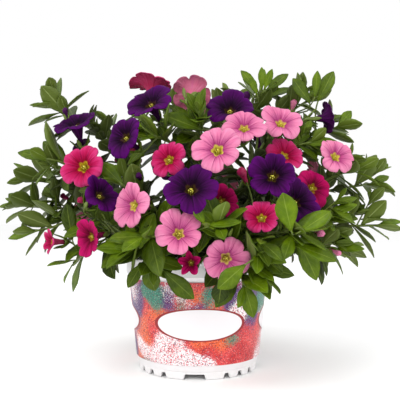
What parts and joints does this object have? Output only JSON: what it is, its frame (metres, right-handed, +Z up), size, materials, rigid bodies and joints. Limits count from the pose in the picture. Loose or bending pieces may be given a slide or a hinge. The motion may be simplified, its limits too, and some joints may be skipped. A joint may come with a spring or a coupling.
{
  "type": "potted calibrachoa",
  "caption": "Potted calibrachoa in bloom: a mounded plant of small trumpet flowers in pinks and purple, in a white nursery pot with a printed sleeve.",
  "frame": {"origin": "centre of the pot's base, on the surface that its foot ring stands on", "axes": "+Z up along the pot's axis; -Y towards the pictured front; +X to the viewer's right"},
  "size_m": [0.2926, 0.2251, 0.2201],
  "materials": {
    "pot_plastic": "smooth white moulded plastic",
    "sleeve_print": "printed in sprayed coral, orange, violet and teal with pale speckle",
    "soil": "rough dark potting soil",
    "foliage": "soft matt green leaves and stems",
    "petals_rose": "soft matt petals",
    "petals_purple": "velvety matt petals",
    "petals_blush": "soft matt petals",
    "petals_magenta": "soft matt petals"
  },
  "bodies": {
    "root": {"pot": "pot_plastic", "printed_sleeve": "sleeve_print", "soil": "soil", "stem_left_low": "foliage", "stem_left_mid": "foliage", "stem_left_high": "foliage", "stem_left_front": "foliage", "stem_front_left": "foliage", "stem_front_mid": "foliage", "stem_front_right": "foliage", "stem_right_front": "foliage", "stem_right_low": "foliage", "stem_right_mid": "foliage", "stem_right_high": "foliage", "stem_top_right": "foliage", "stem_top_front": "foliage", "stem_back_left": "foliage", "stem_back_mid": "foliage", "stem_back_right": "foliage", "stem_back_high": "foliage", "bloom_01_rose": "petals_rose", "bloom_02_purple": "petals_purple", "bloom_03_purple": "petals_purple", "bloom_04_rose": "petals_rose", "bloom_05_blush": "petals_blush", "bloom_06_purple": "petals_purple", "bloom_07_blush": "petals_blush", "bloom_08_blush": "petals_blush", "bloom_09_blush": "petals_blush", "bloom_10_purple": "petals_purple", "bloom_11_rose": "petals_rose", "bloom_12_purple": "petals_purple", "bloom_13_purple": "petals_purple", "bloom_14_purple": "petals_purple", "bloom_15_magenta": "petals_magenta", "bloom_16_rose": "petals_rose", "bloom_17_blush": "petals_blush", "bloom_18_purple": "petals_purple", "bloom_19_purple": "petals_purple", "bloom_20_blush": "petals_blush", "bloom_21_magenta": "petals_magenta", "bloom_22_rose": "petals_rose", "bloom_23_blush": "petals_blush", "bloom_24_magenta": "petals_magenta", "bloom_25_rose": "petals_rose", "bloom_26_blush": "petals_blush", "bloom_27_magenta": "petals_magenta", "bloom_28_purple": "petals_purple", "bloom_29_rose": "petals_rose", "bloom_30_blush": "petals_blush", "bloom_31_purple": "petals_purple", "bloom_32_blush": "petals_blush", "bloom_33_rose": "petals_rose", "bloom_34_magenta": "petals_magenta", "bloom_35_purple": "petals_purple", "bloom_36_blush": "petals_blush", "bloom_37_rose": "petals_rose", "bloom_38_blush": "petals_blush"}
  },
  "joints": []
}
